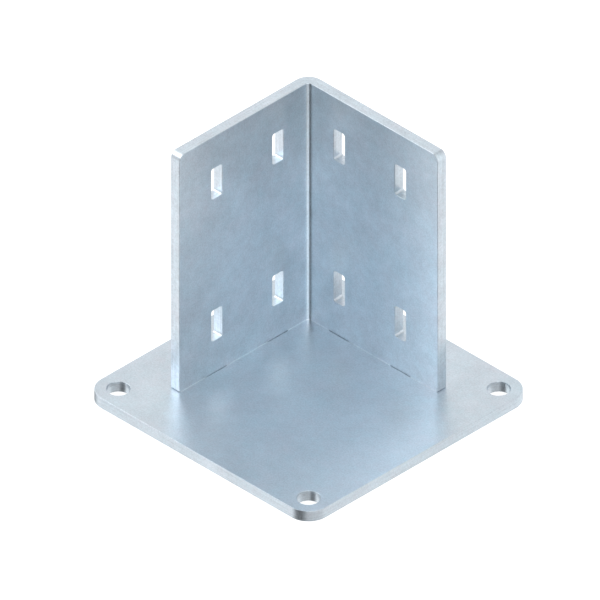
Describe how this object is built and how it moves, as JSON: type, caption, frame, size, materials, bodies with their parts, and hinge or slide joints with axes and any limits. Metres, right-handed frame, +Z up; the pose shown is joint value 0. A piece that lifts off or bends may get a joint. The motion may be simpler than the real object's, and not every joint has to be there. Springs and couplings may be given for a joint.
{
  "type": "steel base plate with corner post support",
  "caption": "Square zinc-plated steel base plate with corner anchor holes and an upright folded corner angle, with screw windows, that holds a square post at its foot.",
  "frame": {"origin": "centre of the plate's underside, on the axis of the post that it holds", "axes": "+Z up, +X along the right flange away from the fold, +Y towards the right flange; the fold stands at -X, +Y"},
  "size_m": [0.165, 0.165, 0.1564],
  "materials": {
    "zinc_plate": "bright zinc plate, satin, with a bluish cast and faint clouding",
    "zinc_sheet": "bright zinc plate, satin, with a bluish cast and faint clouding",
    "zinc_weld": "zinc plate over weld metal ground nearly flush, a little rougher than the sheet"
  },
  "bodies": {
    "root": {"base_plate": "zinc_plate", "corner_angle": "zinc_sheet", "plug_weld_left_corner": "zinc_weld", "plug_weld_left_end": "zinc_weld", "plug_weld_right_corner": "zinc_weld", "plug_weld_right_end": "zinc_weld"}
  },
  "joints": []
}
